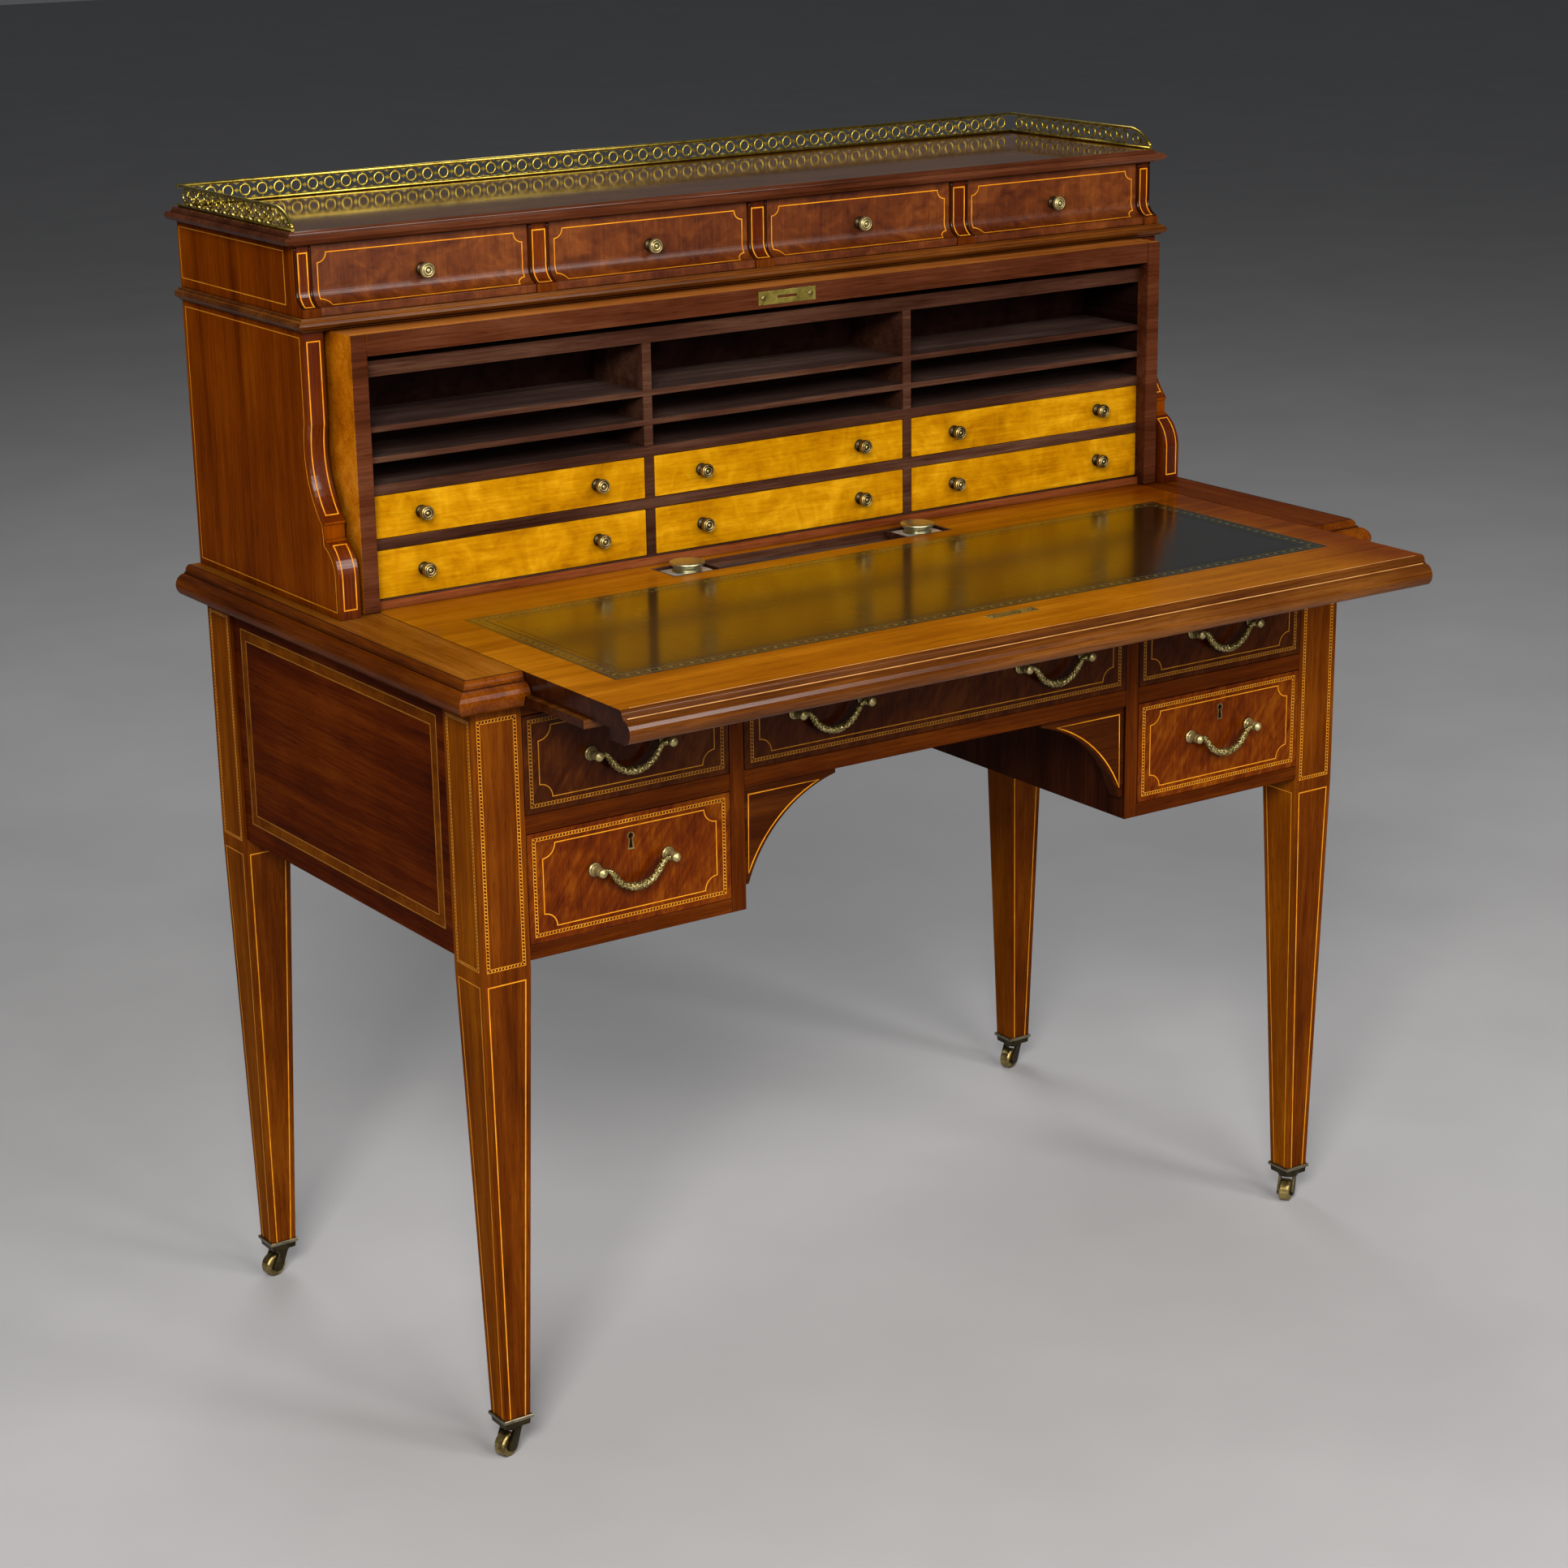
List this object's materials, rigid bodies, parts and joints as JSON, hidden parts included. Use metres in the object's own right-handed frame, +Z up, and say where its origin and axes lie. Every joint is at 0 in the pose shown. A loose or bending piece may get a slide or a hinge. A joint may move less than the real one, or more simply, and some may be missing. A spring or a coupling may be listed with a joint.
{
  "type": "writing desk",
  "caption": "Kneehole writing desk with a sliding leather-lined writing board, a nest of pigeonholes and small drawers, frieze drawers, brass gallery and legs on castors.",
  "frame": {"origin": "middle of the footprint with the writing board drawn out, on the floor", "axes": "+X to the sitter's right, +Y from the sitter towards the back, +Z up"},
  "size_m": [1.07, 0.73, 1.1315],
  "materials": {
    "mahogany": "polished",
    "dark_mahogany": "polished",
    "flame_mahogany": "polished",
    "drawer_lining_wood": "bare",
    "satinwood": "polished",
    "brass": "aged",
    "dark_brass": "tarnished",
    "green_leather": "polished",
    "glass": "clear"
  },
  "bodies": {
    "carcass": {"legs": "mahogany", "side_panels": "mahogany", "pedestal_sides": "mahogany", "front_rails": "mahogany", "kneehole_brackets": "mahogany", "fixed_top": "mahogany", "cabinet_sides": "mahogany", "middle_moulding": "mahogany", "frieze_case": "mahogany", "cornice": "mahogany", "back_panels": "drawer_lining_wood", "dust_boards": "drawer_lining_wood", "slide_bearers": "drawer_lining_wood", "cabinet_back": "drawer_lining_wood", "castor_cups": "dark_brass", "gallery": "brass"},
    "carriage": {"writing_board": "mahogany", "leather_inset": "green_leather", "pen_tray": "mahogany", "ink_bottles": "glass", "inkwell_collars": "brass", "nest_case": "dark_mahogany", "nest_shelves": "dark_mahogany", "lock_plates": "brass"},
    "inkwell_lid_left": {"inkwell_lid_left": "brass"},
    "inkwell_lid_right": {"inkwell_lid_right": "brass"},
    "nest_drawer_low_left": {"nest_drawer_low_left": "satinwood"},
    "nest_drawer_low_middle": {"nest_drawer_low_middle": "satinwood"},
    "nest_drawer_low_right": {"nest_drawer_low_right": "satinwood"},
    "nest_drawer_high_left": {"nest_drawer_high_left": "satinwood"},
    "nest_drawer_high_middle": {"nest_drawer_high_middle": "satinwood"},
    "nest_drawer_high_right": {"nest_drawer_high_right": "satinwood"},
    "frieze_drawer_1": {"frieze_drawer_1": "flame_mahogany"},
    "frieze_drawer_2": {"frieze_drawer_2": "flame_mahogany"},
    "frieze_drawer_3": {"frieze_drawer_3": "flame_mahogany"},
    "frieze_drawer_4": {"frieze_drawer_4": "flame_mahogany"},
    "drawer_top_left": {"drawer_top_left": "flame_mahogany", "fittings_top_left": "brass"},
    "drawer_top_right": {"drawer_top_right": "flame_mahogany", "fittings_top_right": "brass"},
    "drawer_centre": {"drawer_centre": "flame_mahogany", "fittings_centre": "brass"},
    "drawer_bottom_left": {"drawer_bottom_left": "flame_mahogany", "fittings_bottom_left": "brass"},
    "drawer_bottom_right": {"drawer_bottom_right": "flame_mahogany", "fittings_bottom_right": "brass"},
    "bail_top_left": {"bail_top_left": "brass"},
    "bail_top_right": {"bail_top_right": "brass"},
    "bail_centre_left": {"bail_centre_left": "brass"},
    "bail_centre_right": {"bail_centre_right": "brass"},
    "bail_bottom_left": {"bail_bottom_left": "brass"},
    "bail_bottom_right": {"bail_bottom_right": "brass"},
    "castor_fork_front_left": {"castor_fork_front_left": "dark_brass"},
    "castor_wheel_front_left": {"castor_wheel_front_left": "dark_brass"},
    "castor_fork_front_right": {"castor_fork_front_right": "dark_brass"},
    "castor_wheel_front_right": {"castor_wheel_front_right": "dark_brass"},
    "castor_fork_back_left": {"castor_fork_back_left": "dark_brass"},
    "castor_wheel_back_left": {"castor_wheel_back_left": "dark_brass"},
    "castor_fork_back_right": {"castor_fork_back_right": "dark_brass"},
    "castor_wheel_back_right": {"castor_wheel_back_right": "dark_brass"}
  },
  "joints": [
    {"name": "carriage_slide", "type": "slide", "parent": "carcass", "child": "carriage", "axis": [0, 1, 0], "range_m": [0, 0.159]},
    {"name": "inkwell_lid_left_hinge", "type": "hinge", "parent": "carriage", "child": "inkwell_lid_left", "pos_m": [-0.14, 0.062, 0.766], "axis": [1, 0, 0], "range_deg": [-100, 0]},
    {"name": "inkwell_lid_right_hinge", "type": "hinge", "parent": "carriage", "child": "inkwell_lid_right", "pos_m": [0.14, 0.062, 0.766], "axis": [1, 0, 0], "range_deg": [-100, 0]},
    {"name": "nest_drawer_low_left_slide", "type": "slide", "parent": "carriage", "child": "nest_drawer_low_left", "axis": [0, -1, 0], "range_m": [0, 0.045]},
    {"name": "nest_drawer_low_middle_slide", "type": "slide", "parent": "carriage", "child": "nest_drawer_low_middle", "axis": [0, -1, 0], "range_m": [0, 0.045]},
    {"name": "nest_drawer_low_right_slide", "type": "slide", "parent": "carriage", "child": "nest_drawer_low_right", "axis": [0, -1, 0], "range_m": [0, 0.045]},
    {"name": "nest_drawer_high_left_slide", "type": "slide", "parent": "carriage", "child": "nest_drawer_high_left", "axis": [0, -1, 0], "range_m": [0, 0.045]},
    {"name": "nest_drawer_high_middle_slide", "type": "slide", "parent": "carriage", "child": "nest_drawer_high_middle", "axis": [0, -1, 0], "range_m": [0, 0.045]},
    {"name": "nest_drawer_high_right_slide", "type": "slide", "parent": "carriage", "child": "nest_drawer_high_right", "axis": [0, -1, 0], "range_m": [0, 0.045]},
    {"name": "frieze_drawer_1_slide", "type": "slide", "parent": "carcass", "child": "frieze_drawer_1", "axis": [0, -1, 0], "range_m": [0, 0.15]},
    {"name": "frieze_drawer_2_slide", "type": "slide", "parent": "carcass", "child": "frieze_drawer_2", "axis": [0, -1, 0], "range_m": [0, 0.15]},
    {"name": "frieze_drawer_3_slide", "type": "slide", "parent": "carcass", "child": "frieze_drawer_3", "axis": [0, -1, 0], "range_m": [0, 0.15]},
    {"name": "frieze_drawer_4_slide", "type": "slide", "parent": "carcass", "child": "frieze_drawer_4", "axis": [0, -1, 0], "range_m": [0, 0.15]},
    {"name": "drawer_top_left_slide", "type": "slide", "parent": "carcass", "child": "drawer_top_left", "axis": [0, -1, 0], "range_m": [0, 0.3]},
    {"name": "drawer_top_right_slide", "type": "slide", "parent": "carcass", "child": "drawer_top_right", "axis": [0, -1, 0], "range_m": [0, 0.3]},
    {"name": "drawer_centre_slide", "type": "slide", "parent": "carcass", "child": "drawer_centre", "axis": [0, -1, 0], "range_m": [0, 0.3]},
    {"name": "drawer_bottom_left_slide", "type": "slide", "parent": "carcass", "child": "drawer_bottom_left", "axis": [0, -1, 0], "range_m": [0, 0.3]},
    {"name": "drawer_bottom_right_slide", "type": "slide", "parent": "carcass", "child": "drawer_bottom_right", "axis": [0, -1, 0], "range_m": [0, 0.3]},
    {"name": "bail_top_left_swing", "type": "hinge", "parent": "drawer_top_left", "child": "bail_top_left", "pos_m": [-0.3535, -0.194, 0.671], "axis": [-1, 0, 0], "range_deg": [0, 150]},
    {"name": "bail_top_right_swing", "type": "hinge", "parent": "drawer_top_right", "child": "bail_top_right", "pos_m": [0.3535, -0.194, 0.671], "axis": [-1, 0, 0], "range_deg": [0, 150]},
    {"name": "bail_centre_left_swing", "type": "hinge", "parent": "drawer_centre", "child": "bail_centre_left", "pos_m": [-0.133, -0.194, 0.671], "axis": [-1, 0, 0], "range_deg": [0, 150]},
    {"name": "bail_centre_right_swing", "type": "hinge", "parent": "drawer_centre", "child": "bail_centre_right", "pos_m": [0.133, -0.194, 0.671], "axis": [-1, 0, 0], "range_deg": [0, 150]},
    {"name": "bail_bottom_left_swing", "type": "hinge", "parent": "drawer_bottom_left", "child": "bail_bottom_left", "pos_m": [-0.3535, -0.194, 0.562], "axis": [-1, 0, 0], "range_deg": [0, 150]},
    {"name": "bail_bottom_right_swing", "type": "hinge", "parent": "drawer_bottom_right", "child": "bail_bottom_right", "pos_m": [0.3535, -0.194, 0.562], "axis": [-1, 0, 0], "range_deg": [0, 150]},
    {"name": "castor_front_left_swivel", "type": "hinge", "parent": "carcass", "child": "castor_fork_front_left", "pos_m": [-0.49075, -0.16175, 0.031], "axis": [0, 0, 1], "continuous": true},
    {"name": "castor_front_left_roll", "type": "hinge", "parent": "castor_fork_front_left", "child": "castor_wheel_front_left", "pos_m": [-0.49827, -0.16449, 0.012], "axis": [0.342, -0.9397, 0], "continuous": true},
    {"name": "castor_front_right_swivel", "type": "hinge", "parent": "carcass", "child": "castor_fork_front_right", "pos_m": [0.49075, -0.16175, 0.031], "axis": [0, 0, 1], "continuous": true},
    {"name": "castor_front_right_roll", "type": "hinge", "parent": "castor_fork_front_right", "child": "castor_wheel_front_right", "pos_m": [0.4842, -0.16634, 0.012], "axis": [0.5736, -0.8192, 0], "continuous": true},
    {"name": "castor_back_left_swivel", "type": "hinge", "parent": "carcass", "child": "castor_fork_back_left", "pos_m": [-0.49075, 0.32375, 0.031], "axis": [0, 0, 1], "continuous": true},
    {"name": "castor_back_left_roll", "type": "hinge", "parent": "castor_fork_back_left", "child": "castor_wheel_back_left", "pos_m": [-0.49863, 0.32236, 0.012], "axis": [0.1736, -0.9848, 0], "continuous": true},
    {"name": "castor_back_right_swivel", "type": "hinge", "parent": "carcass", "child": "castor_fork_back_right", "pos_m": [0.49075, 0.32375, 0.031], "axis": [0, 0, 1], "continuous": true},
    {"name": "castor_back_right_roll", "type": "hinge", "parent": "castor_fork_back_right", "child": "castor_wheel_back_right", "pos_m": [0.48323, 0.32101, 0.012], "axis": [0.342, -0.9397, 0], "continuous": true}
  ]
}
